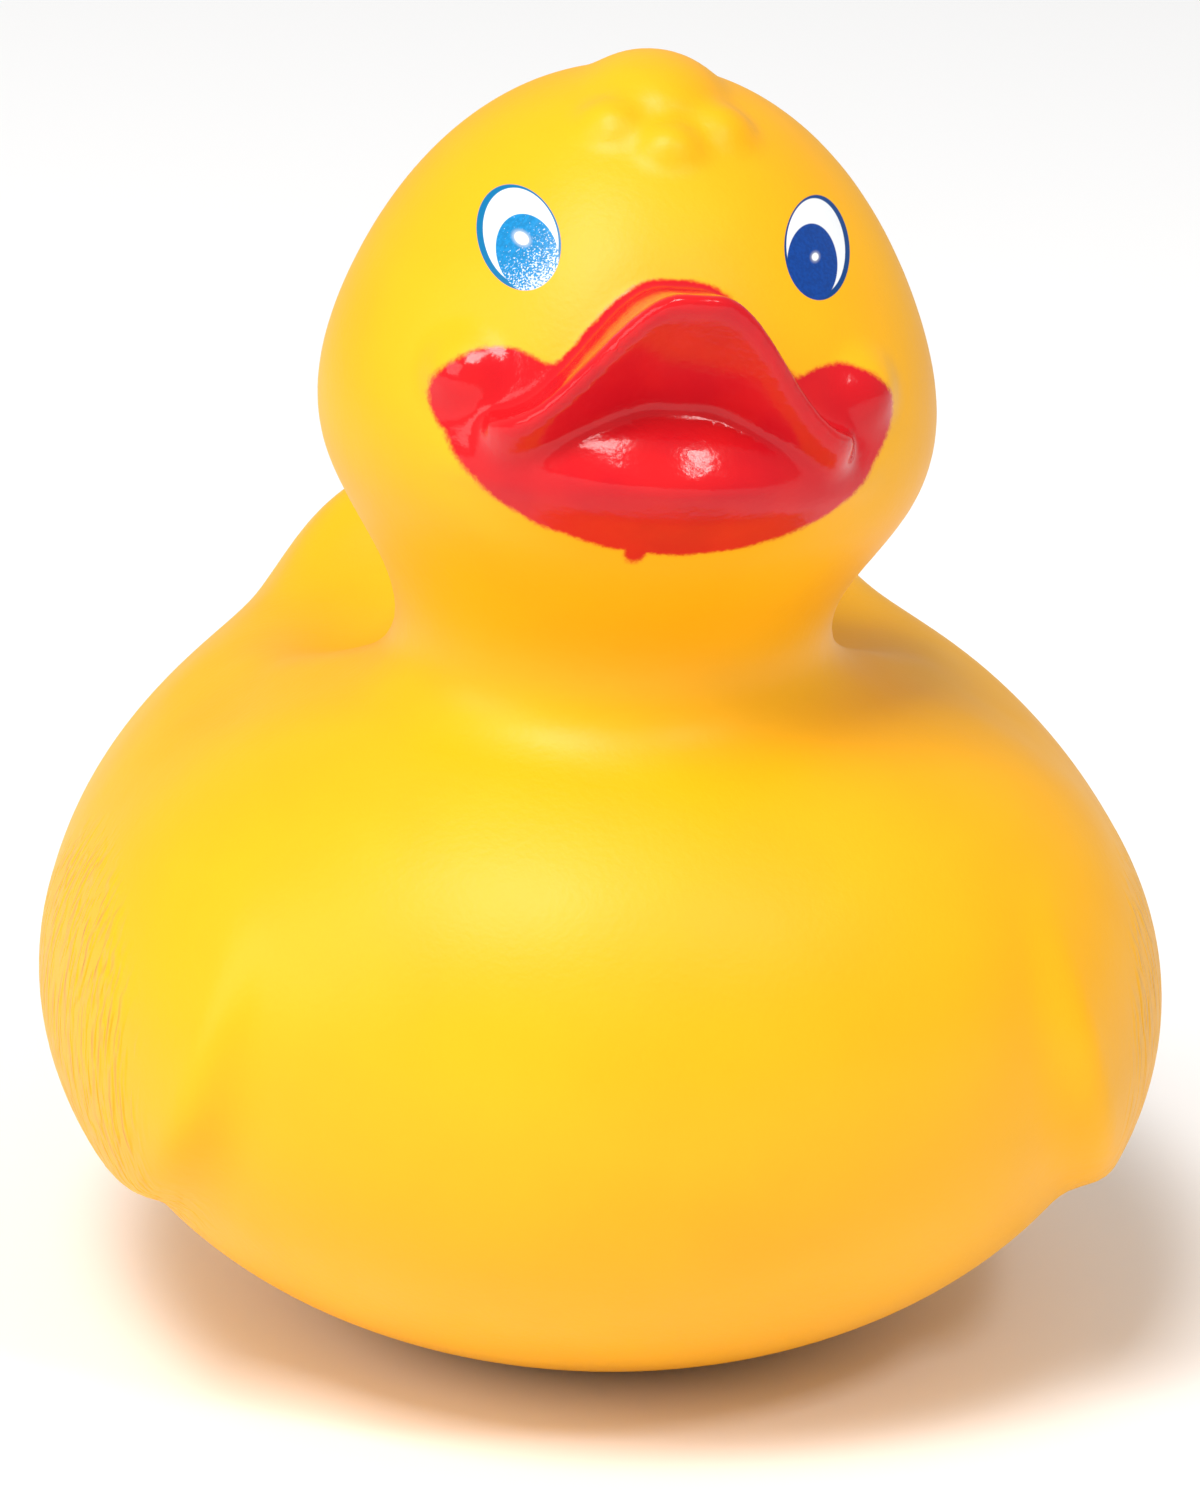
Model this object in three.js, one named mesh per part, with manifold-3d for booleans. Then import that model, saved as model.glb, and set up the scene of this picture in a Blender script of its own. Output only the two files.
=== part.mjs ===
// A rubber duck: one hollow moulding of soft vinyl, with a squeaker pressed into the hole in its base.
// Millimetres, +Z up. The duck looks along -Y and stands with its flat base on z = 0.
//
// The skin is the zero level of a field that is negative inside the duck. Each part of the body is an
// ellipsoid, and neighbours melt into each other over a blend width. Both sides of the duck are alike but
// for the head's pose, so every shape is given once, for x >= 0.
import * as THREE from "three";
import { mergeVertices } from "three/addons/utils/BufferGeometryUtils.js";
import Module from "manifold-3d";

// ---- Driving dimensions -------------------------------------------------------------------------

const WALL = 2.2; // thickness of the vinyl
const BASE_EDGE = 0.8; // rounding between the flat base and the belly

// The duck stands on a low flat land around the squeaker.
const LAND_RADIUS = 15;
const LAND_HEIGHT = 0.4;
const LAND_SIDES = 12;

// Ellipsoids: centre, radii, and turns in degrees about X (pitch), Y (roll) and Z (yaw).
const TORSO = { at: [0, -3, 24.3], radii: [39.5, 44, 26.7] };
const BREAST = { at: [0, -19, 31.5], radii: [36, 27, 21.5] };
const BACK = { at: [0, 11, 32], radii: [30.6, 30, 21.3] };
const TAIL = { at: [0, 30.5, 42.5], radii: [18, 19, 10], pitch: -38 };
const NECK = { at: [0, -17, 53], radii: [12.2, 12.2, 16] };
const CHEEKS = { at: [0, -19, 71], radii: [21, 20.5, 13.5] };
const CROWN = { at: [0, -16.5, 78], radii: [18.3, 18, 18] };
const BREAST_BLEND = 12;
const BACK_BLEND = 12;
const TAIL_BLEND = 16;
const NECK_BLEND = 7.2;
const HEAD_BLEND = 11;
const CROWN_BLEND = 10;

// The head sits a little askew on the neck: shifted, leaning and turned, in degrees. The pose sets in
// between two heights.
const HEAD_SHIFT = -1.4;
const HEAD_LEAN = 3.4; // about a line along Y
const HEAD_TURN = 2.0; // about the neck's axis
const LEAN_HEIGHT = 56;
const POSE_FROM = 46;
const POSE_TO = 64;

// Wings: a raised panel on the flank, and a fuller tip behind. In the side view (y, z) the panel has a
// round front and a long oval behind it that rises towards the tail.
const WING_SKIN = { at: [0, -5, 25.5], radii: [41.8, 52, 28.4] };
const WING_FRONT = { at: [-18, 30], radii: [20.5, 16] };
const WING_REAR = { at: [6, 32], radii: [31, 13], rise: 12 };
const WING_OUTLINE_BLEND = 8;
const WING_TIP = { at: [26, 14, 36], radii: [7.5, 26, 14.5], pitch: -14, roll: -38, yaw: 12 };
const WING_INNER_X = 10; // the panel starts this far from the middle
const WING_EDGE = 1.5;
const WING_TIP_BLEND = 4;
const WING_BLEND = 1.5;

// Shallow hollow in the back on both sides, between the neck and the wing.
const BACK_HOLLOW = { at: [17, 5, 62.8], radii: [12, 17, 14.5] };
const BACK_HOLLOW_EDGE = 5;

// Tuft of feathers on the crown.
const TUFT_LOBES = [
  { at: [0, -18.5, 94], radii: [5, 7, 3.4] },
  { at: [3.5, -24, 92.4], radii: [2.8, 2.8, 2.6] },
  { at: [0, -26.4, 91.7], radii: [2.6, 2.4, 2.3] },
];
const TUFT_BLEND = 1;

// Bill. "Forward" is -y. The upper bill is topped by a curved sheet that rises forward and falls to both
// sides; its front falls back below the rim, down to the lower lip.
const BILL_ROOT = 35.5; // forward distance at which the sheet leaves the face
const BILL_TIP = 45.4;
const BILL_WIDEST = 35; // forward distance of the widest line of its plan
const BILL_HALF_WIDTH = 11;
const BILL_CORNER = { at: [9.0, 36.8], radii: [3.7, 4.2] }; // rounded corners of the plan: x, forward
const BILL_CORNER_BLEND = 3;
const BILL_HEIGHT = 84.3; // of the sheet, at the root, on the centre line
const BILL_RISE = 0.19; // slope of the centre line
const BILL_FALL = 9.2; // drop from the centre line to the corners of the mouth
const BILL_RIDGE = 1.2; // x at which the sheet starts to drop
const BILL_FOOT = 12; // x at which it has dropped
const BILL_FLOOR = 71.8; // underside
const BILL_RIM = 0.9; // upright height of the rim, above the sloping front
const BILL_UNDERCUT = 0.88; // how far the front falls back for each step down
const BILL_EDGE = 1.2;
const JAW = { at: [0, -25, 72], radii: [17, 17, 8] };
const LOBE = { at: [12.8, -31, 76.8], radii: [3.6, 4.2, 3.4] };
const LOWER_RIM = { at: [0, -31, 71.4], radii: [15.2, 9.4, 2.4] };
const LOWER_LIP = { at: [0, -36.2, 72], radii: [9.4, 6.2, 2] };
const JAW_BLEND = 1.2;
const LOBE_BLEND = 1;
const BILL_BLEND = 0.8;
const LIP_BLEND = 1.0;

// Squeaker, a round case on the duck's axis of balance, with its reed.
const SQUEAKER_Y = -3;
const HOLE_RADIUS = 5.5;
const GAP = 0.3; // clearance between neighbouring pieces
const CASE_BOTTOM = 0.6; // set in from the base
const CASE_HEIGHT = 8.4;
const CASE_WALL = 1;
const COLLAR_WIDTH = 2;
const COLLAR_HEIGHT = 1.2;
const VENT_RADIUS = 1.2;
const LEDGE_HEIGHT = 4.2; // from the underside of the case
const LEDGE_WIDTH = 0.8;
const REED_HEIGHT = 1.6;
const REED_BORE = 0.9;
const LATHE_SEGMENTS = 24;

// ---- Field ----------------------------------------------------------------------------------------

const radians = (degrees) => (degrees * Math.PI) / 180;

// Turns the pair (a, b) by an angle in degrees.
function turned(a, b, degrees) {
  if (!degrees) return [a, b];
  const c = Math.cos(radians(degrees));
  const s = Math.sin(radians(degrees));
  return [c * a + s * b, -s * a + c * b];
}

// Distance to an ellipse or ellipsoid, to first order near its surface.
function nearDistance(offsets, radii) {
  const k0 = Math.hypot(...offsets.map((v, i) => v / radii[i]));
  const k1 = Math.hypot(...offsets.map((v, i) => v / radii[i] ** 2));
  return (k0 * (k0 - 1)) / Math.max(k1, 1e-9);
}

function ellipsoid(p, { at, radii, pitch = 0, roll = 0, yaw = 0 }) {
  let [x, y, z] = p.map((v, i) => v - at[i]);
  [x, y] = turned(x, y, yaw);
  [z, x] = turned(z, x, roll);
  [y, z] = turned(y, z, pitch);
  return nearDistance([x, y, z], radii);
}

// Oval cylinder along X, given by its outline in the side view.
function oval([, y, z], { at, radii, rise = 0 }) {
  return nearDistance(turned(y - at[0], z - at[1], rise), radii);
}

// Smooth union and smooth intersection over a blend width.
function join(a, b, width) {
  const h = Math.min(Math.max(0.5 + (0.5 * (b - a)) / width, 0), 1);
  return b * (1 - h) + a * h - width * h * (1 - h);
}

const meet = (a, b, width) => -join(-a, -b, width);

function body(p) {
  let d = ellipsoid(p, TORSO);
  d = join(d, ellipsoid(p, BREAST), BREAST_BLEND);
  d = join(d, ellipsoid(p, BACK), BACK_BLEND);
  d = join(d, ellipsoid(p, TAIL), TAIL_BLEND);
  d = join(d, ellipsoid(p, NECK), NECK_BLEND);
  const head = join(ellipsoid(p, CHEEKS), ellipsoid(p, CROWN), CROWN_BLEND);
  return join(d, head, HEAD_BLEND);
}

function wing(p) {
  const outline = join(oval(p, WING_FRONT), oval(p, WING_REAR), WING_OUTLINE_BLEND);
  let panel = meet(ellipsoid(p, WING_SKIN), outline, WING_EDGE);
  panel = meet(panel, WING_INNER_X - p[0], WING_EDGE);
  return join(panel, ellipsoid(p, WING_TIP), WING_TIP_BLEND);
}

function tuft(p) {
  return TUFT_LOBES.map((lobe) => ellipsoid(p, lobe)).reduce((a, b) => join(a, b, TUFT_BLEND));
}

// Under the curved sheet, within an oval plan whose front falls back below the rim.
function upperBill([x, y, z]) {
  const share = Math.min(Math.max((x - BILL_RIDGE) / (BILL_FOOT - BILL_RIDGE), 0), 1);
  const height = BILL_HEIGHT + BILL_RISE * (-y - BILL_ROOT) - BILL_FALL * share ** 2 * (3 - 2 * share);
  const slope = (BILL_FALL * 6 * share * (1 - share)) / (BILL_FOOT - BILL_RIDGE);
  const above = (z - height) / Math.hypot(1, slope);
  const forward = -y + BILL_UNDERCUT * meet(height - BILL_RIM - z, 0, BILL_RIM);
  const front = nearDistance([x, forward - BILL_WIDEST], [BILL_HALF_WIDTH, BILL_TIP - BILL_WIDEST]);
  const [cornerX, cornerForward] = BILL_CORNER.at;
  const corner = nearDistance([x - cornerX, forward - cornerForward], BILL_CORNER.radii);
  const plan = join(front, corner, BILL_CORNER_BLEND);
  return meet(meet(above, BILL_FLOOR - z, BILL_EDGE), plan, BILL_EDGE);
}

// The point of a straight duck that the head's pose moves to (x, y, z).
function straightened(x, y, z) {
  const rise = Math.min(Math.max((z - POSE_FROM) / (POSE_TO - POSE_FROM), 0), 1);
  const share = rise ** 2 * (3 - 2 * rise);
  const [leant, up] = turned(x - HEAD_SHIFT * share, z - LEAN_HEIGHT, -HEAD_LEAN * share);
  const [side, back] = turned(leant, y - NECK.at[1], HEAD_TURN * share);
  return [side, back + NECK.at[1], up + LEAN_HEIGHT];
}

function duck([x, y, z]) {
  const [side, back, up] = straightened(x, y, z);
  const p = [Math.abs(side), back, up];
  let d = join(body(p), wing(p), WING_BLEND);
  d = meet(d, -ellipsoid(p, BACK_HOLLOW), BACK_HOLLOW_EDGE);
  d = join(d, tuft(p), TUFT_BLEND);
  d = join(d, ellipsoid(p, JAW), JAW_BLEND);
  d = join(d, ellipsoid(p, LOWER_RIM), JAW_BLEND);
  d = join(d, ellipsoid(p, LOBE), LOBE_BLEND);
  d = join(d, upperBill(p), BILL_BLEND);
  d = join(d, ellipsoid(p, LOWER_LIP), LIP_BLEND);
  return meet(d, LAND_HEIGHT - z, BASE_EDGE);
}

// ---- Surface of a field -----------------------------------------------------------------------------

// Grid lines through the given stations, each stretch split into equal steps no longer than its own.
function gridLines(stations) {
  const lines = [stations[0].at];
  for (let i = 1; i < stations.length; i++) {
    const from = stations[i - 1].at;
    const span = stations[i].at - from;
    const steps = Math.ceil(span / stations[i].step);
    for (let k = 1; k <= steps; k++) lines.push(from + (span * k) / steps);
  }
  return lines;
}

// Mirrors the stations of one side, so that the grid is alike on both sides of the duck.
function bothSides(stations) {
  const half = gridLines(stations);
  return [...half.slice(1).reverse().map((x) => -x), ...half];
}

function gradient(field, p) {
  const e = 0.02;
  return p.map((_, axis) => {
    const ahead = p.map((v, i) => (i === axis ? v + e : v));
    const behind = p.map((v, i) => (i === axis ? v - e : v));
    return (field(ahead) - field(behind)) / (2 * e);
  });
}

// Moves a point onto the zero level, in a few Newton steps.
function settle(field, start) {
  let p = start;
  for (let round = 0; round < 3; round++) {
    const value = field(p);
    const g = gradient(field, p);
    const steepness = g.reduce((sum, v) => sum + v * v, 0);
    p = p.map((v, i) => v - (value * g[i]) / steepness);
  }
  return p;
}

// Labels the corners of a grid cell that belong together: inside corners that share an edge of the cell,
// and outside corners that share a face of it. Corner c lies at (c & 1, c >> 1 & 1, c >> 2 & 1).
function cornerGroups(inside) {
  const label = inside.map((_, c) => c);
  const bits = (c) => (c & 1) + ((c >> 1) & 1) + ((c >> 2) & 1);
  for (let a = 0; a < 8; a++) {
    for (let b = 0; b < a; b++) {
      const near = bits(a ^ b) <= (inside[a] ? 1 : 2);
      if (inside[a] !== inside[b] || !near) continue;
      const [kept, dropped] = [Math.min(label[a], label[b]), Math.max(label[a], label[b])];
      label.forEach((v, c) => {
        if (v === dropped) label[c] = kept;
      });
    }
  }
  return label;
}

// Closed mesh of the zero level (surface nets): one vertex for each piece of surface within a grid cell,
// and one four-sided face across each grid edge that the surface crosses.
function surface(field, grid) {
  const size = grid.map((lines) => lines.length);
  const nodeIndex = (n) => (n[2] * size[1] + n[1]) * size[0] + n[0];
  const place = (n) => n.map((v, axis) => grid[axis][v]);
  const values = new Float64Array(size[0] * size[1] * size[2]);
  const eachNode = (visit) => {
    for (let k = 0; k < size[2]; k++) {
      for (let j = 0; j < size[1]; j++) {
        for (let i = 0; i < size[0]; i++) visit([i, j, k]);
      }
    }
  };
  eachNode((n) => {
    values[nodeIndex(n)] = field(place(n));
  });

  const next = (n, axis, by = 1) => n.map((v, i) => (i === axis ? v + by : v));
  const corners = [0, 1, 2, 3, 4, 5, 6, 7];
  const corner = (cell, n) => n.reduce((sum, v, axis) => sum + ((v - cell[axis]) << axis), 0);
  const cornerNode = (cell, c) => cell.map((v, axis) => v + ((c >> axis) & 1));
  const cellGroups = (cell) => cornerGroups(corners.map((c) => values[nodeIndex(cornerNode(cell, c))] < 0));
  const patches = new Map(); // one piece of surface within one cell -> its crossings of the cell's edges
  const groups = new Map();
  const faces = [];
  eachNode((n) => {
    for (let axis = 0; axis < 3; axis++) {
      if (n[axis] + 1 >= size[axis]) continue;
      const end = next(n, axis);
      const a = values[nodeIndex(n)];
      const b = values[nodeIndex(end)];
      if (a < 0 === b < 0) continue;
      const [from, to] = [place(n), place(end)];
      const crossing = from.map((v, i) => v + ((to[i] - v) * a) / (a - b));
      const [u, v] = [(axis + 1) % 3, (axis + 2) % 3];
      const cells = [n, next(n, u, -1), next(next(n, u, -1), v, -1), next(n, v, -1)];
      const face = cells.map((cell) => {
        const key = nodeIndex(cell);
        if (!groups.has(key)) groups.set(key, cellGroups(cell));
        const labels = [n, end].map((node) => groups.get(key)[corner(cell, node)]);
        const patch = key * 64 + Math.min(...labels) * 8 + Math.max(...labels);
        if (!patches.has(patch)) patches.set(patch, []);
        patches.get(patch).push(crossing);
        return patch;
      });
      faces.push(a < 0 ? face : face.reverse());
    }
  });

  const order = new Map([...patches.keys()].map((patch, i) => [patch, i]));
  const points = [...patches.values()].map((crossings) => {
    const sum = crossings.reduce((s, c) => s.map((v, i) => v + c[i]), [0, 0, 0]);
    return settle(field, sum.map((v) => v / crossings.length));
  });
  const distance = (a, b) => Math.hypot(...a.map((v, i) => v - b[i]));
  const triangles = faces.flatMap((face) => {
    const [a, b, c, d] = face.map((patch) => order.get(patch));
    const shortAcross = distance(points[a], points[c]) < distance(points[b], points[d]);
    return shortAcross ? [a, b, c, a, c, d] : [b, c, d, b, d, a];
  });
  const geometry = new THREE.BufferGeometry();
  geometry.setAttribute("position", new THREE.Float32BufferAttribute(points.flat(), 3));
  return geometry.setIndex(triangles);
}

// ---- Solids -------------------------------------------------------------------------------------------

const wasm = await Module();
wasm.setup();

function solid(geometry) {
  const bare = geometry.clone();
  bare.deleteAttribute("normal");
  bare.deleteAttribute("uv");
  const merged = mergeVertices(bare, 1e-4);
  return new wasm.Manifold(
    new wasm.Mesh({
      numProp: 3,
      vertProperties: merged.attributes.position.array,
      triVerts: new Uint32Array(merged.index.array),
    }),
  );
}

function geometryOf(manifold) {
  const { vertProperties, triVerts } = manifold.getMesh();
  const geometry = new THREE.BufferGeometry();
  geometry.setAttribute("position", new THREE.BufferAttribute(vertProperties, 3));
  geometry.setIndex(new THREE.BufferAttribute(triVerts, 1));
  geometry.computeVertexNormals();
  return geometry;
}

// A solid of revolution about a vertical axis, from a closed profile of [radius, height].
function lathe(profile) {
  const points = [...profile, profile[0]].map(([r, z]) => new THREE.Vector2(r, z));
  return new THREE.LatheGeometry(points, LATHE_SEGMENTS).rotateX(Math.PI / 2);
}

// ---- Pieces -------------------------------------------------------------------------------------------

const vinyl = new THREE.MeshStandardMaterial({ color: 0xf9cf2e, roughness: 0.45, metalness: 0 });
const whistlePlastic = new THREE.MeshStandardMaterial({ color: 0xe9e6dc, roughness: 0.4, metalness: 0 });
const reedPlastic = new THREE.MeshStandardMaterial({ color: 0xd8d4c6, roughness: 0.35, metalness: 0 });

// Hollow moulding: the skin and its land, less the same skin drawn in by the wall, less the squeaker's hole.
function duckBody() {
  const margin = 1.5;
  const skin = surface(duck, [
    bothSides([{ at: 0 }, { at: 15, step: 1.7 }, { at: 42 + margin, step: 5 }]),
    gridLines([{ at: -50 - margin }, { at: -46, step: 5 }, { at: -34, step: 1.2 }, { at: 50 + margin, step: 5 }]),
    gridLines([
      { at: -margin },
      { at: 51, step: 5 },
      { at: 63, step: 3 },
      { at: 71, step: 4 },
      { at: 87, step: 1.3 },
      { at: 98 + margin, step: 3 },
    ]),
  ]);
  const inner = surface((p) => duck(p) + WALL, [
    bothSides([{ at: 0 }, { at: 42, step: 6 }]),
    gridLines([{ at: -50 }, { at: 53, step: 6 }]),
    gridLines([{ at: 0 }, { at: 98, step: 6 }]),
  ]);
  const land = new THREE.CylinderGeometry(LAND_RADIUS, LAND_RADIUS, WALL, LAND_SIDES);
  land.rotateX(Math.PI / 2).translate(0, SQUEAKER_Y, WALL / 2);
  const hole = new THREE.CylinderGeometry(HOLE_RADIUS, HOLE_RADIUS, 4 * WALL, LATHE_SEGMENTS);
  hole.rotateX(Math.PI / 2).translate(0, SQUEAKER_Y, WALL);
  const moulding = solid(skin).add(solid(land)).subtract(solid(inner)).subtract(solid(hole));
  return new THREE.Mesh(geometryOf(moulding), vinyl);
}

// A cup with its vent below and a collar that snaps over the inner edge of the hole.
function squeakerCase() {
  const outer = HOLE_RADIUS - GAP;
  const inner = outer - CASE_WALL;
  const top = CASE_BOTTOM + CASE_HEIGHT;
  const collar = LAND_HEIGHT + WALL + GAP;
  const ledge = CASE_BOTTOM + LEDGE_HEIGHT;
  const floor = CASE_BOTTOM + CASE_WALL;
  const profile = [
    [VENT_RADIUS, CASE_BOTTOM],
    [outer, CASE_BOTTOM],
    [outer, collar],
    [outer + COLLAR_WIDTH, collar],
    [outer + COLLAR_WIDTH, collar + COLLAR_HEIGHT],
    [outer, collar + COLLAR_HEIGHT],
    [outer, top],
    [inner, top],
    [inner, ledge],
    [inner - LEDGE_WIDTH, ledge],
    [inner - LEDGE_WIDTH, floor],
    [VENT_RADIUS, floor],
  ];
  return new THREE.Mesh(lathe(profile), whistlePlastic);
}

// The thick disc that sounds, resting on the ledge inside the case.
function squeakerReed() {
  const rim = HOLE_RADIUS - GAP - CASE_WALL - GAP;
  const bottom = CASE_BOTTOM + LEDGE_HEIGHT + GAP;
  const profile = [
    [REED_BORE, bottom],
    [rim, bottom],
    [rim, bottom + REED_HEIGHT],
    [REED_BORE, bottom + REED_HEIGHT],
  ];
  return new THREE.Mesh(lathe(profile), reedPlastic);
}

const rubberDuck = new THREE.Group();
const squeaker = new THREE.Group();
squeaker.position.set(0, SQUEAKER_Y, 0);
const pieces = { duck_body: duckBody(), squeaker_case: squeakerCase(), squeaker_reed: squeakerReed() };
for (const [name, mesh] of Object.entries(pieces)) mesh.name = name;
squeaker.add(pieces.squeaker_case, pieces.squeaker_reed);
rubberDuck.add(pieces.duck_body, squeaker);

export default rubberDuck;
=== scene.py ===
"""A rubber duck: the looks of the hollow vinyl moulding and its squeaker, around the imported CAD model.

The duck looks along -Y and stands on z = 0. Its own sizes below are in millimetres; Blender's are metres.
The skin is the zero level of a field that is negative inside the duck: ellipsoids that melt into each
other, given once for x >= 0 because both sides are alike but for the head's pose.
"""

import math

import bpy
import numpy as np
from mathutils import Matrix, Vector


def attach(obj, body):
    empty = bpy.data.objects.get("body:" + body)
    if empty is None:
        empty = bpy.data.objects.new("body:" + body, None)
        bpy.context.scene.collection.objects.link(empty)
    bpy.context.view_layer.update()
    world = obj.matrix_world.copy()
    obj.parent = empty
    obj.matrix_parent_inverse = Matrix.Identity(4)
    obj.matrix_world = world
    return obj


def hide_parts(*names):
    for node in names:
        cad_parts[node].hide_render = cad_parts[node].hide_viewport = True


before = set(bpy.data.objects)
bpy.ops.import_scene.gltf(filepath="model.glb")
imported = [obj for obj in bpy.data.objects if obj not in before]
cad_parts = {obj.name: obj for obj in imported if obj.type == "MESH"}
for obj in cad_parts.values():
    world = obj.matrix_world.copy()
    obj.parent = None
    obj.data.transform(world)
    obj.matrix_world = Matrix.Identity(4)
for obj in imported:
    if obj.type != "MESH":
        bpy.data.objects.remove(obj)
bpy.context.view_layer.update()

MM = 0.001  # metres in a millimetre

# ---- Sizes of the moulding, as in the CAD model ---------------------------------------------------

WALL = 2.2
BASE_EDGE = 0.8

TORSO = dict(at=(0, -3, 24.3), radii=(39.5, 44, 26.7))
BREAST = dict(at=(0, -19, 31.5), radii=(36, 27, 21.5))
BACK = dict(at=(0, 11, 32), radii=(30.6, 30, 21.3))
TAIL = dict(at=(0, 30.5, 42.5), radii=(18, 19, 10), pitch=-38)
NECK = dict(at=(0, -17, 53), radii=(12.2, 12.2, 16))
CHEEKS = dict(at=(0, -19, 71), radii=(21, 20.5, 13.5))
CROWN = dict(at=(0, -16.5, 78), radii=(18.3, 18, 18))
BREAST_BLEND = 12
BACK_BLEND = 12
TAIL_BLEND = 16
NECK_BLEND = 7.2
HEAD_BLEND = 11
CROWN_BLEND = 10

# The head is set on a little askew: turned and leaning to the duck's left, and shifted to its right.
HEAD_TURN = 2.0  # degrees about the neck's axis
HEAD_LEAN = 3.4  # degrees about a line along Y at the lean's height
HEAD_SHIFT = -1.4  # sideways
LEAN_HEIGHT = 56  # of the line that the head leans about
POSE_FROM, POSE_TO = 46, 64  # heights between which the pose sets in

WING_SKIN = dict(at=(0, -5, 25.5), radii=(41.8, 52, 28.4))
WING_FRONT = dict(at=(-18, 30), radii=(20.5, 16))
WING_REAR = dict(at=(6, 32), radii=(31, 13), rise=12)
WING_OUTLINE_BLEND = 8
WING_TIP = dict(at=(26, 14, 36), radii=(7.5, 26, 14.5), pitch=-14, roll=-38, yaw=12)
WING_INNER_X = 10
WING_EDGE = 1.5
WING_TIP_BLEND = 4
WING_BLEND = 1.5
BACK_HOLLOW = dict(at=(17, 5, 62.8), radii=(12, 17, 14.5))
BACK_HOLLOW_EDGE = 5

TUFT_LOBES = (
    dict(at=(0, -18.5, 94), radii=(5, 7, 3.4)),
    dict(at=(3.5, -24, 92.4), radii=(2.8, 2.8, 2.6)),
    dict(at=(0, -26.4, 91.7), radii=(2.6, 2.4, 2.3)),
)
TUFT_BLEND = 1

BILL_ROOT = 35.5
BILL_TIP = 45.4
BILL_WIDEST = 35
BILL_HALF_WIDTH = 11
BILL_CORNER = dict(at=(9.0, 36.8), radii=(3.7, 4.2))
BILL_CORNER_BLEND = 3
BILL_HEIGHT = 84.3
BILL_RISE = 0.19
BILL_FALL = 9.2
BILL_RIDGE, BILL_FOOT = 1.2, 12
BILL_FLOOR = 71.8
BILL_RIM = 0.9
BILL_UNDERCUT = 0.88
BILL_EDGE = 1.2
JAW = dict(at=(0, -25, 72), radii=(17, 17, 8))
LOBE = dict(at=(12.8, -31, 76.8), radii=(3.6, 4.2, 3.4))
LOWER_RIM = dict(at=(0, -31, 71.4), radii=(15.2, 9.4, 2.4))
LOWER_LIP = dict(at=(0, -36.2, 72), radii=(9.4, 6.2, 2))
JAW_BLEND = 1.2
LOBE_BLEND = 1
BILL_BLEND = 0.8
LIP_BLEND = 1.0

SQUEAKER_Y = -3
HOLE_RADIUS = 5.5

# ---- Field: every function takes points of shape (n, 3), or their columns ---------------------------


def turned(a, b, degrees):
    c = math.cos(math.radians(degrees))
    s = math.sin(math.radians(degrees))
    return c * a + s * b, -s * a + c * b


def near_distance(offsets, radii):
    """Distance to an ellipse or ellipsoid, to first order near its surface."""
    k0 = np.sqrt(sum((v / r) ** 2 for v, r in zip(offsets, radii)))
    k1 = np.sqrt(sum((v / r**2) ** 2 for v, r in zip(offsets, radii)))
    return k0 * (k0 - 1) / np.maximum(k1, 1e-9)


def ellipsoid(p, at, radii, pitch=0, roll=0, yaw=0):
    x, y, z = (p[i] - at[i] for i in range(3))
    if yaw:
        x, y = turned(x, y, yaw)
    if roll:
        z, x = turned(z, x, roll)
    if pitch:
        y, z = turned(y, z, pitch)
    return near_distance((x, y, z), radii)


def oval(p, at, radii, rise=0):
    """Oval cylinder along X, given by its outline in the side view."""
    return near_distance(turned(p[1] - at[0], p[2] - at[1], rise), radii)


def join(a, b, width):
    h = np.clip(0.5 + 0.5 * (b - a) / width, 0, 1)
    return b * (1 - h) + a * h - width * h * (1 - h)


def meet(a, b, width):
    return -join(-a, -b, width)


def body(p):
    d = ellipsoid(p, **TORSO)
    d = join(d, ellipsoid(p, **BREAST), BREAST_BLEND)
    d = join(d, ellipsoid(p, **BACK), BACK_BLEND)
    d = join(d, ellipsoid(p, **TAIL), TAIL_BLEND)
    d = join(d, ellipsoid(p, **NECK), NECK_BLEND)
    head = join(ellipsoid(p, **CHEEKS), ellipsoid(p, **CROWN), CROWN_BLEND)
    return join(d, head, HEAD_BLEND)


def wing(p):
    outline = join(oval(p, **WING_FRONT), oval(p, **WING_REAR), WING_OUTLINE_BLEND)
    panel = meet(ellipsoid(p, **WING_SKIN), outline, WING_EDGE)
    panel = meet(panel, WING_INNER_X - p[0], WING_EDGE)
    return join(panel, ellipsoid(p, **WING_TIP), WING_TIP_BLEND)


def tuft(p):
    d = ellipsoid(p, **TUFT_LOBES[0])
    for lobe in TUFT_LOBES[1:]:
        d = join(d, ellipsoid(p, **lobe), TUFT_BLEND)
    return d


def sheet_height(p):
    """Height and sideways slope of the curved sheet that tops the upper bill."""
    share = np.clip((p[0] - BILL_RIDGE) / (BILL_FOOT - BILL_RIDGE), 0, 1)
    height = BILL_HEIGHT + BILL_RISE * (-p[1] - BILL_ROOT) - BILL_FALL * share**2 * (3 - 2 * share)
    slope = BILL_FALL * 6 * share * (1 - share) / (BILL_FOOT - BILL_RIDGE)
    return height, slope


def upper_bill(p):
    """Under the sheet, within an oval plan whose front falls back below the rim."""
    height, slope = sheet_height(p)
    above = (p[2] - height) / np.sqrt(1 + slope**2)
    forward = -p[1] + BILL_UNDERCUT * meet(height - BILL_RIM - p[2], 0, BILL_RIM)
    plan = near_distance((p[0], forward - BILL_WIDEST), (BILL_HALF_WIDTH, BILL_TIP - BILL_WIDEST))
    (x, y), radii = BILL_CORNER["at"], BILL_CORNER["radii"]
    plan = join(plan, near_distance((p[0] - x, forward - y), radii), BILL_CORNER_BLEND)
    return meet(meet(above, BILL_FLOOR - p[2], BILL_EDGE), plan, BILL_EDGE)


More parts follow.
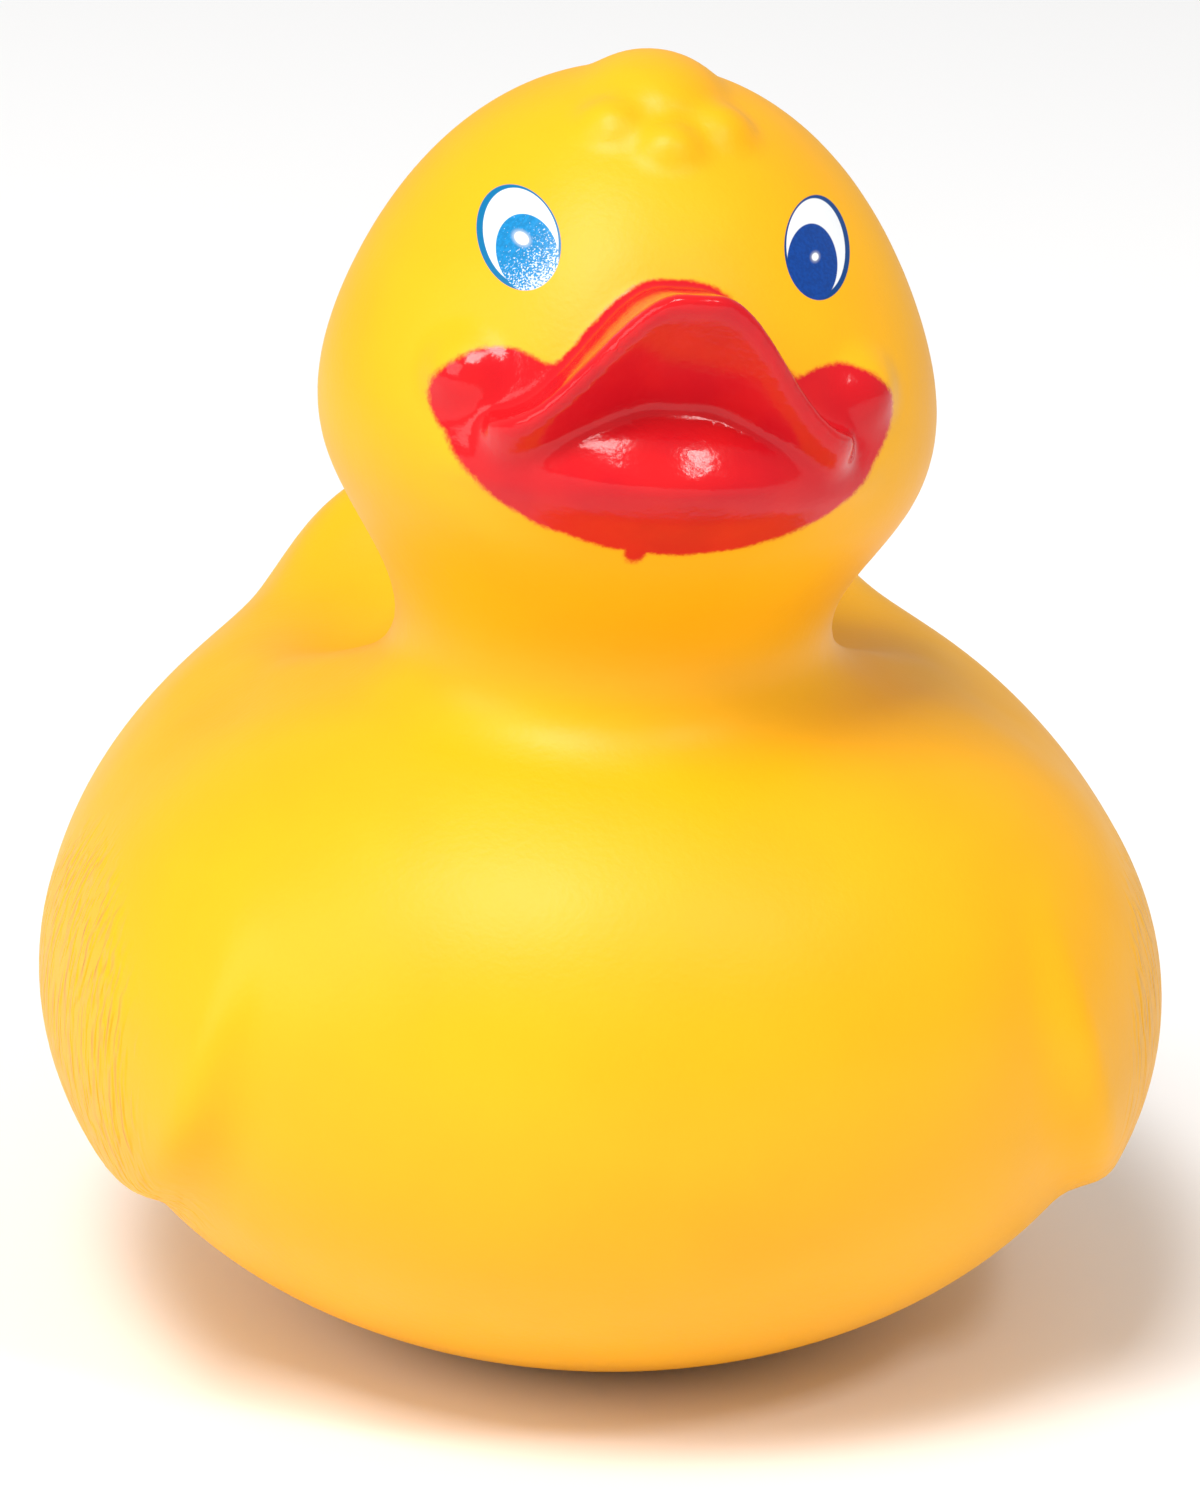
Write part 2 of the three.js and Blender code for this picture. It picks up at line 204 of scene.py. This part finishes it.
def straightened(x, y, z):
    """The point of a straight duck that the head's pose moves to (x, y, z)."""
    share = np.clip((z - POSE_FROM) / (POSE_TO - POSE_FROM), 0, 1)
    share = share**2 * (3 - 2 * share)
    lean, turn = np.radians(HEAD_LEAN) * share, np.radians(HEAD_TURN) * share
    x = x - HEAD_SHIFT * share
    up = z - LEAN_HEIGHT
    x, up = np.cos(lean) * x - np.sin(lean) * up, np.sin(lean) * x + np.cos(lean) * up
    back = y - NECK["at"][1]
    x, back = np.cos(turn) * x + np.sin(turn) * back, -np.sin(turn) * x + np.cos(turn) * back
    return x, back + NECK["at"][1], up + LEAN_HEIGHT


def duck(points):
    x, y, z = straightened(*points.T)
    p = (np.abs(x), y, z)
    d = join(body(p), wing(p), WING_BLEND)
    d = meet(d, -ellipsoid(p, **BACK_HOLLOW), BACK_HOLLOW_EDGE)
    d = join(d, tuft(p), TUFT_BLEND)
    d = join(d, ellipsoid(p, **JAW), JAW_BLEND)
    d = join(d, ellipsoid(p, **LOWER_RIM), JAW_BLEND)
    d = join(d, ellipsoid(p, **LOBE), LOBE_BLEND)
    d = join(d, upper_bill(p), BILL_BLEND)
    d = join(d, ellipsoid(p, **LOWER_LIP), LIP_BLEND)
    return meet(d, -points[:, 2], BASE_EDGE)


# ---- Mesh of a field's zero level ---------------------------------------------------------------------


def grid_lines(start, *stretches):
    """Grid lines from start through (end, step) stretches, each in equal steps no longer than its own."""
    lines = [np.array([start], float)]
    for end, step in stretches:
        begin = lines[-1][-1]
        count = math.ceil((end - begin) / step)
        lines.append(begin + (end - begin) * np.arange(1, count + 1) / count)
    return np.concatenate(lines)


def both_sides(*stretches):
    half = grid_lines(0, *stretches)
    return np.concatenate([-half[:0:-1], half])


def gradient(field, points, reach=0.02):
    slopes = []
    for axis in range(3):
        offset = np.zeros(3)
        offset[axis] = reach
        slopes.append((field(points + offset) - field(points - offset)) / (2 * reach))
    return np.stack(slopes, 1)


def settle(field, points, rounds=3):
    """Moves points onto the zero level in a few Newton steps."""
    for _ in range(rounds):
        slope = gradient(field, points)
        points = points - slope * (field(points) / (slope**2).sum(1))[:, None]
    return points


def surface(field, xs, ys, zs):
    """Surface nets: one vertex in each cell that the surface crosses, one quad across each crossed edge."""
    lines = (xs, ys, zs)
    size = [len(line) for line in lines]
    values = np.empty(size)
    for i, x in enumerate(xs):
        plane = np.stack(np.meshgrid([x], ys, zs, indexing="ij"), -1).reshape(-1, 3)
        values[i] = field(plane).reshape(size[1], size[2])
    inside = values < 0

    corners = [(a, b, c) for a in (0, 1) for b in (0, 1) for c in (0, 1)]
    shifted = [inside[a : size[0] - 1 + a, b : size[1] - 1 + b, c : size[2] - 1 + c] for a, b, c in corners]
    filled = np.sum(shifted, 0)
    cells = np.argwhere((filled > 0) & (filled < 8))
    number = -np.ones(filled.shape, int)
    number[tuple(cells.T)] = np.arange(len(cells))

    total = np.zeros((len(cells), 3))
    crossings = np.zeros(len(cells))
    for axis in range(3):
        for corner in (c for c in corners if c[axis] == 0):
            low = cells + corner
            high = low.copy()
            high[:, axis] += 1
            a, b = values[tuple(low.T)], values[tuple(high.T)]
            crossed = (a < 0) != (b < 0)
            share = np.where(crossed, a / np.where(crossed, a - b, 1), 0)
            points = np.stack([lines[k][low[:, k]] for k in range(3)], 1)
            points[:, axis] += share * (lines[axis][high[:, axis]] - lines[axis][low[:, axis]])
            total[crossed] += points[crossed]
            crossings[crossed] += 1
    vertices = settle(field, total / crossings[:, None])

    quads = []
    for axis in range(3):
        u, v = (axis + 1) % 3, (axis + 2) % 3
        first = np.take(inside, range(size[axis] - 1), axis)
        second = np.take(inside, range(1, size[axis]), axis)
        edges = np.argwhere(first != second)
        step_u, step_v = np.eye(3, dtype=int)[u], np.eye(3, dtype=int)[v]
        ring = [edges, edges - step_u, edges - step_u - step_v, edges - step_v]
        quad = np.stack([number[tuple(c.T)] for c in ring], 1)
        outward = first[tuple(edges.T)]
        quad[~outward] = quad[~outward][:, ::-1]
        quads.append(quad)
    return vertices, np.concatenate(quads)


def mesh_object(name, vertices, faces):
    mesh = bpy.data.meshes.new(name)
    mesh.from_pydata((vertices * MM).tolist(), [], faces.tolist())
    mesh.update()
    piece = bpy.data.objects.new(name, mesh)
    bpy.context.scene.collection.objects.link(piece)
    return piece


# ---- Shader helpers -------------------------------------------------------------------------------------


class Shader:
    """A material's node tree, with short calls for the nodes used here."""

    def __init__(self, name):
        self.material = bpy.data.materials.new(name)
        self.material.use_nodes = True
        self.tree = self.material.node_tree
        self.bsdf = self.tree.nodes["Principled BSDF"]

    def node(self, kind, **settings):
        made = self.tree.nodes.new(kind)
        for key, value in settings.items():
            setattr(made, key, value)
        return made

    def link(self, source, target):
        if hasattr(source, "is_output"):
            self.tree.links.new(source, target)
        else:
            target.default_value = source

    def math(self, operation, *values, clamp=False):
        made = self.node("ShaderNodeMath", operation=operation, use_clamp=clamp)
        for value, socket in zip(values, made.inputs):
            self.link(value, socket)
        return made.outputs[0]

    def add(self, *values):
        return self._chain("ADD", values)

    def times(self, *values):
        return self._chain("MULTIPLY", values)

    def least(self, *values):
        return self._chain("MINIMUM", values)

    def most(self, *values):
        return self._chain("MAXIMUM", values)

    def _chain(self, operation, values):
        result = values[0]
        for value in values[1:]:
            result = self.math(operation, result, value)
        return result

    def less(self, a, b):
        return self.math("SUBTRACT", a, b)

    def step(self, value, low, high, smooth=True):
        """0 where value is below low, 1 above high."""
        made = self.node("ShaderNodeMapRange", interpolation_type="SMOOTHSTEP" if smooth else "LINEAR")
        for source, key in ((value, "Value"), (low, "From Min"), (high, "From Max")):
            self.link(source, made.inputs[key])
        return made.outputs["Result"]

    def position(self, matrix=None):
        """The point in millimetres and its three parts, moved by a matrix if one is given."""
        place = self.node("ShaderNodeTexCoord").outputs["Object"]
        scaled = self.node("ShaderNodeVectorMath", operation="SCALE")
        self.link(place, scaled.inputs[0])
        scaled.inputs["Scale"].default_value = 1 / MM
        point = scaled.outputs[0]
        if matrix is not None:
            moved = self.node("ShaderNodeMapping", vector_type="POINT")
            self.link(point, moved.inputs["Vector"])
            moved.inputs["Location"].default_value = matrix.to_translation()
            moved.inputs["Rotation"].default_value = matrix.to_euler()
            point = moved.outputs[0]
        parts = self.node("ShaderNodeSeparateXYZ")
        self.link(point, parts.inputs[0])
        return point, parts.outputs

    def noise(self, place, size, detail=2.0):
        """Noise with features of the given size in millimetres, from about 0 to 1."""
        made = self.node("ShaderNodeTexNoise")
        self.link(place, made.inputs["Vector"])
        made.inputs["Scale"].default_value = 1 / size
        made.inputs["Detail"].default_value = detail
        return made.outputs["Fac"]

    def mix(self, share, a, b):
        made = self.node("ShaderNodeMix", data_type="RGBA")
        self.link(share, made.inputs["Factor"])
        for value, socket in ((a, made.inputs[6]), (b, made.inputs[7])):
            self.link((*value, 1) if isinstance(value, tuple) else value, socket)
        return made.outputs[2]

    def blend(self, share, a, b):
        """a where share is 0, b where it is 1."""
        made = self.node("ShaderNodeMix", data_type="FLOAT")
        for value, socket in zip((share, a, b), (made.inputs[0], made.inputs[2], made.inputs[3])):
            self.link(value, socket)
        return made.outputs[0]

    def bump(self, height, depth, normal=None):
        """Bump from a height of 0 to 1 that stands for depth millimetres."""
        made = self.node("ShaderNodeBump")
        made.inputs["Distance"].default_value = depth * MM
        self.link(height, made.inputs["Height"])
        if normal is not None:
            self.link(normal, made.inputs["Normal"])
        return made.outputs[0]


# ---- Paint: the red bill and the printed eyes ---------------------------------------------------------

YELLOW = (0.95, 0.46, 0.004)
YELLOW_DEEP = (0.93, 0.43, 0.003)
RED = (0.68, 0.010, 0.014)
RED_DEEP = (0.62, 0.007, 0.014)
EYE_WHITE = (0.86, 0.88, 0.90)

PAINT_MARGIN = 0.6  # paint reaches this far above the upper bill's sheet
PAINT_SIDE = 13.0
PAINT_MEET = 76.5  # height at which the paint above and below the mouth meet
PAINT_OVERLAP = 2.0  # the upper paint reaches this far below that height
PAINT_FRONT = (25.0, 26.0)  # paint fades in between these distances forward of the origin
PAINT_BLEND = 1.5
PAINT_SOFTNESS = 0.2  # half the width of the paint's edge
PAINT_WOBBLE = dict(size=3.0, depth=0.5)  # how the edge wanders
PAINT_GRAIN = dict(size=0.35, depth=0.3)  # how it frays
PAINT_LOBE = dict(at=(11.5, 75.7), radii=(4.7, 3.8))
PAINT_CHIN = dict(at=(0, 76.0), radii=(15.9, 9.4))
PAINT_DRIP = dict(at=(-2.0, 66.9), radii=(0.8, 1.1))

# Eyes in the front view: |x| and z of the middle, and radii. The shapes inside are shares of the radii,
# across (towards the bill) and up.
EYE = dict(at=(10.4, 86.4), radii=(2.65, 3.05))
EYE_LEAN = 7.6  # degrees by which the tops lean in
EYE_BALL = dict(at=(0.04, 0.03), radii=(0.89, 0.92))
IRIS = dict(at=(0.22, -0.24), radii=(0.75, 0.76))
EYE_SIDES = (
    # The duck's right eye faces the key light: its ink and ring are the print's blue painted lighter, which
    # is painted light.
    dict(
        side=-1.0,
        ink_and_painted_light=(0.004, 0.20, 0.46),
        ring=(0.0, 0.16, 0.36),
        dot=(0.05, 0.02),
        dot_radii=(0.17, 0.12),
        lift=-0.3,
    ),
    dict(
        side=1.0,
        ink_and_painted_light=(0.002, 0.045, 0.25),
        ring=(0.0, 0.05, 0.22),
        dot=(0.125, -0.13),
        dot_radii=(0.10, 0.075),
        lift=0.0,
    ),
)
EYE_FRONT = (20.0, 20.5)  # print fades in between these distances forward of the origin
EYE_CRISP = 0.012  # half the width of the print's edges
HALO_WIDTH = 1.3  # the pale ring round the dot, against the dot
HALO_SOFTNESS = 0.05
INK_GRAIN = 0.25

# Painted glints: pale flecks in the iris on the duck's right, standing for the key light glinting off the
# rough print.
PAINTED_GLINT_SIZE = 0.13
PAINTED_GLINT_STRENGTH = 0.7
PAINTED_GLINT_LIMIT, PAINTED_GLINT_LIMIT_DROP = 0.72, 0.3  # noise above the limit is a fleck; it drops where they thicken

# Fine strokes on the wings, within an oval of the side view (y, z).
FEATHER_PANEL = dict(at=(-14, 24), radii=(20, 16))
FEATHER_INNER_X = 26.0
FEATHER_FADE = 4.0
FEATHER_WIDTH = 1.1
FEATHER_STRETCH = 0.25  # scale of the noise along z, which makes the strokes upright
FEATHER_DEPTH = 0.3


def oval_edge(s, across, up, at, radii):
    """Distance outside an oval, to within its own shape: below 0 inside."""
    a = s.math("POWER", s.math("DIVIDE", s.less(across, at[0]), radii[0]), 2.0)
    b = s.math("POWER", s.math("DIVIDE", s.less(up, at[1]), radii[1]), 2.0)
    return s.times(s.less(s.math("SQRT", s.add(a, b)), 1.0), min(radii))


def head_matrix():
    """Takes points of the posed head back to the straight duck."""
    shift = Matrix.Translation((-HEAD_SHIFT, 0, -LEAN_HEIGHT))
    lean = Matrix.Rotation(math.radians(-HEAD_LEAN), 4, "Y")
    neck = Matrix.Translation((0, -NECK["at"][1], 0))
    turn = Matrix.Rotation(math.radians(-HEAD_TURN), 4, "Z")
    return neck.inverted() @ turn @ neck @ Matrix.Translation((0, 0, LEAN_HEIGHT)) @ lean @ shift


def bill_paint(s, place, x, y, z):
    """1 where the bill is painted: the shapes of the bill, each grown a little, with a soft edge."""
    side = s.math("ABSOLUTE", x)
    share = s.math("DIVIDE", s.less(side, BILL_RIDGE), BILL_FOOT - BILL_RIDGE, clamp=True)
    fall = s.times(share, share, s.less(3.0, s.times(share, 2.0)), BILL_FALL)
    height = s.less(s.less(BILL_HEIGHT - BILL_RISE * BILL_ROOT, s.times(y, BILL_RISE)), fall)
    slope = s.times(share, s.less(1.0, share), 6 * BILL_FALL / (BILL_FOOT - BILL_RIDGE))
    steepness = s.math("SQRT", s.add(1.0, s.times(slope, slope)))
    sheet = s.less(s.math("DIVIDE", s.less(z, height), steepness), PAINT_MARGIN)
    sheet = s.most(sheet, s.less(side, PAINT_SIDE), s.less(PAINT_MEET - PAINT_OVERLAP, z))
    lobe = oval_edge(s, side, z, **PAINT_LOBE)
    chin = s.most(oval_edge(s, side, z, **PAINT_CHIN), s.less(z, PAINT_MEET))
    upper = s.math("SMOOTH_MIN", sheet, lobe, PAINT_BLEND)
    edge = s.least(upper, chin, oval_edge(s, x, z, **PAINT_DRIP))
    for rough in (PAINT_WOBBLE, PAINT_GRAIN):
        edge = s.add(edge, s.times(s.less(s.noise(place, rough["size"]), 0.5), rough["depth"]))
    front = s.step(s.times(y, -1.0), *PAINT_FRONT)
    return s.times(s.less(1.0, s.step(edge, -PAINT_SOFTNESS, PAINT_SOFTNESS)), front)


def eye_print(s, place, x, y, z, under):
    """The printed eyes over a colour, with painted light and painted glints on the iris on the duck's
    right: returns the colour, and 1 where there is print.
    """
    side = s.math("ABSOLUTE", x)
    dx = s.less(EYE["at"][0], side)
    lift = s.blend(s.step(x, -1.0, 1.0), EYE_SIDES[0]["lift"], EYE_SIDES[1]["lift"])
    dz = s.less(s.less(z, EYE["at"][1]), lift)
    c, k = math.cos(math.radians(EYE_LEAN)), math.sin(math.radians(EYE_LEAN))
    across = s.math("DIVIDE", s.less(s.times(dx, c), s.times(dz, k)), EYE["radii"][0])
    up = s.math("DIVIDE", s.add(s.times(dz, c), s.times(dx, k)), EYE["radii"][1])

    def within(at, radii, soft=EYE_CRISP):
        return s.less(1.0, s.step(oval_edge(s, across, up, at, radii), -soft, soft))

    front = s.step(s.times(y, -1.0), *EYE_FRONT)
    printed = s.times(within((0, 0), (1, 1)), front)
    iris = within(**IRIS)
    colour = under
    for eye in EYE_SIDES:
        here = s.step(s.times(x, eye["side"]), 0.0, 0.1)
        grain = s.step(s.noise(place, INK_GRAIN), 0.35, 0.65)
        # On the duck's right the iris colour carries painted light: the print's blue made lighter where the
        # key light falls.
        ink_and_painted_light = s.mix(grain, eye["ink_and_painted_light"], tuple(1.25 * v for v in eye["ink_and_painted_light"]))
        # Painted glints of the key light on the iris on the duck's right.
        if eye["side"] < 0:
            ink_and_painted_light = s.mix(iris_painted_glints(s, place, across, up), ink_and_painted_light, EYE_WHITE)
        halo = tuple(0.5 * v + 0.35 for v in eye["ink_and_painted_light"])
        wide = tuple(HALO_WIDTH * r for r in eye["dot_radii"])
        look = s.mix(within(**EYE_BALL), eye["ring"], EYE_WHITE)
        look = s.mix(iris, look, ink_and_painted_light)
        look = s.mix(within(eye["dot"], wide, HALO_SOFTNESS), look, halo)
        look = s.mix(within(eye["dot"], eye["dot_radii"]), look, EYE_WHITE)
        colour = s.mix(s.times(printed, here), colour, look)
    return colour, printed


def iris_painted_glints(s, place, across, up):
    """Painted glints: pale flecks, standing for the key light glinting off the rough print, that thicken
    towards the lower inner side of the iris.
    """
    depth = s.less(s.times(across, 0.7), s.times(up, 0.7))
    amount = s.step(depth, -0.1, 0.9, smooth=False)
    glints = s.noise(place, PAINTED_GLINT_SIZE, detail=1.0)
    limit = s.less(PAINTED_GLINT_LIMIT, s.times(amount, PAINTED_GLINT_LIMIT_DROP))
    return s.times(s.step(s.less(glints, limit), -0.02, 0.1), PAINTED_GLINT_STRENGTH)


def feathers(s, place):
    """Height of the fine upright strokes pressed into the wings."""
    strokes = s.node("ShaderNodeMapping", vector_type="POINT")
    s.link(place, strokes.inputs["Vector"])
    strokes.inputs["Scale"].default_value = (1.0, 1.0, FEATHER_STRETCH)
    _, (x, y, z) = s.position()
    panel = oval_edge(s, y, z, **FEATHER_PANEL)
    flank = s.less(FEATHER_INNER_X, s.math("ABSOLUTE", x))
    area = s.less(1.0, s.step(s.most(panel, flank), -FEATHER_FADE, 0.0))
    return s.times(s.step(s.noise(strokes.outputs[0], FEATHER_WIDTH, detail=1.0), 0.4, 0.7), area)


def duck_vinyl():
    s = Shader("duck_vinyl")
    place, _ = s.position()
    _, (x, y, z) = s.position(head_matrix())
    mottle = s.noise(place, 14.0, detail=3.0)
    vinyl = s.mix(s.step(mottle, 0.3, 0.75), YELLOW, YELLOW_DEEP)
    red = s.mix(s.step(s.noise(place, 5.0), 0.35, 0.7), RED, RED_DEEP)
    paint = bill_paint(s, place, x, y, z)
    colour = s.mix(paint, vinyl, red)
    colour, printed = eye_print(s, place, x, y, z, colour)
    s.link(colour, s.bsdf.inputs["Base Color"])
    rough = s.blend(s.noise(place, 6.0), 0.38, 0.50)
    rough = s.blend(paint, rough, 0.13)
    s.link(s.blend(printed, rough, 0.3), s.bsdf.inputs["Roughness"])
    grain = s.bump(s.noise(place, 0.5, detail=3.0), 0.02)
    s.link(s.bump(feathers(s, place), FEATHER_DEPTH, grain), s.bsdf.inputs["Normal"])
    s.bsdf.inputs["Specular IOR Level"].default_value = 0.28
    return s.material


def squeaker_plastic(name, colour):
    s = Shader(name)
    place, _ = s.position()
    tint = s.mix(s.noise(place, 3.0), colour, tuple(0.86 * v for v in colour))
    s.link(tint, s.bsdf.inputs["Base Color"])
    s.link(s.blend(s.noise(place, 1.2), 0.25, 0.4), s.bsdf.inputs["Roughness"])
    s.link(s.bump(s.noise(place, 0.4), 0.01), s.bsdf.inputs["Normal"])
    return s.material


# ---- Pieces -------------------------------------------------------------------------------------------


def shell_cutter():
    """The hollow of the duck and the squeaker's hole, as one closed solid."""
    hollow_top = WALL + 1.0

    def hollow(points):
        hole = np.hypot(points[:, 0], points[:, 1] - SQUEAKER_Y) - HOLE_RADIUS
        hole = meet(hole, np.abs(points[:, 2]) - hollow_top, 0.01)
        return join(duck(points) + WALL, hole, 0.3)

    return surface(
        hollow,
        both_sides((9, 0.6), (42, 3)),
        grid_lines(-50, (-12, 3), (6, 0.6), (53, 3)),
        grid_lines(-5, (5, 0.6), (98, 3)),
    )


def duck_body():
    skin = surface(
        duck,
        both_sides((17, 0.55), (44, 1.0)),
        grid_lines(-52, (-28, 0.55), (53, 1.0)),
        grid_lines(-1.5, (65, 1.0), (89, 0.55), (99, 0.8)),
    )
    piece = mesh_object("moulding", *skin)
    cutter = mesh_object("hollow", *shell_cutter())
    cut = piece.modifiers.new("hollow", "BOOLEAN")
    cut.operation = "DIFFERENCE"
    cut.solver = "MANIFOLD"
    cut.object = cutter
    apply_modifiers(piece)
    bpy.data.objects.remove(cutter)
    piece.data.shade_smooth()
    piece.data.materials.clear()
    piece.data.materials.append(duck_vinyl())
    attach(piece, "root")
    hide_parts("duck_body")
    return piece


def apply_modifiers(piece):
    graph = bpy.context.evaluated_depsgraph_get()
    made = bpy.data.meshes.new_from_object(piece.evaluated_get(graph))
    piece.modifiers.clear()
    piece.data = made


def finish_squeaker():
    colours = {"squeaker_case": (0.86, 0.84, 0.78), "squeaker_reed": (0.74, 0.71, 0.64)}
    for name, colour in colours.items():
        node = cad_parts[name]
        material = squeaker_plastic(name + "_plastic", colour)
        node.data.materials.clear()
        node.data.materials.append(material)


# ---- Camera, lights and floor -------------------------------------------------------------------------

CAMERA_TARGET = (0, 0, 40)
CAMERA_DISTANCE = 470
CAMERA_YAW = 6.5  # degrees from the duck's front, towards its right
CAMERA_RISE = 17
CAMERA_ROLL = 1.4
CAMERA_SHIFT = (5 / 1500, 10 / 1500)  # shares of the frame's longer side
LENS = 150


def place_camera():
    yaw, rise, roll = (math.radians(v) for v in (CAMERA_YAW, CAMERA_RISE, CAMERA_ROLL))
    back = Vector((-math.sin(yaw) * math.cos(rise), -math.cos(yaw) * math.cos(rise), math.sin(rise)))
    data = bpy.data.cameras.new("camera")
    data.lens = LENS
    data.sensor_fit = "AUTO"
    data.sensor_width = 36
    camera = bpy.data.objects.new("camera", data)
    bpy.context.scene.collection.objects.link(camera)
    camera.location = (Vector(CAMERA_TARGET) + back * CAMERA_DISTANCE) * MM
    level = back.to_track_quat("Z", "Y").to_matrix()
    camera.rotation_euler = (level @ Matrix.Rotation(roll, 3, "Z")).to_euler()
    data.shift_x, data.shift_y = CAMERA_SHIFT
    bpy.context.scene.camera = camera


def area_light(name, azimuth, elevation, distance, size, power):
    """A square soft light that faces the duck's middle; azimuth in degrees from its front to its right."""
    turn, rise = math.radians(azimuth), math.radians(elevation)
    toward = Vector((-math.sin(turn) * math.cos(rise), -math.cos(turn) * math.cos(rise), math.sin(rise)))
    data = bpy.data.lights.new(name, "AREA")
    data.size = size
    data.energy = power
    data.color = (1.0, 0.99, 0.98)
    light = bpy.data.objects.new(name, data)
    bpy.context.scene.collection.objects.link(light)
    light.location = toward * distance + Vector((0, 0, 0.05))
    light.rotation_euler = toward.to_track_quat("Z", "Y").to_euler()


def place_lights():
    area_light("key", 33, 60, 2.4, 0.9, 45.0)
    area_light("side", 70, 25, 2.2, 1.2, 14.0)
    area_light("fill", -32, 48, 1.6, 0.25, 4.5)
    world = bpy.data.worlds.new("studio")
    world.use_nodes = True
    world.node_tree.nodes["Background"].inputs["Color"].default_value = (1, 1, 1, 1)
    world.node_tree.nodes["Background"].inputs["Strength"].default_value = 0.44
    bpy.context.scene.world = world
    bpy.context.scene.view_settings.view_transform = "Standard"


def place_floor():
    mesh = bpy.data.meshes.new("floor")
    reach = 4.0
    corners = [(-reach, -reach, 0), (reach, -reach, 0), (reach, reach, 0), (-reach, reach, 0)]
    mesh.from_pydata(corners, [], [(0, 1, 2, 3)])
    floor = bpy.data.objects.new("floor", mesh)
    bpy.context.scene.collection.objects.link(floor)
    s = Shader("floor_card")
    s.bsdf.inputs["Base Color"].default_value = (0.93, 0.93, 0.93, 1)
    s.bsdf.inputs["Roughness"].default_value = 0.7
    mesh.materials.append(s.material)


place_camera()
place_lights()
place_floor()
duck_body()
finish_squeaker()
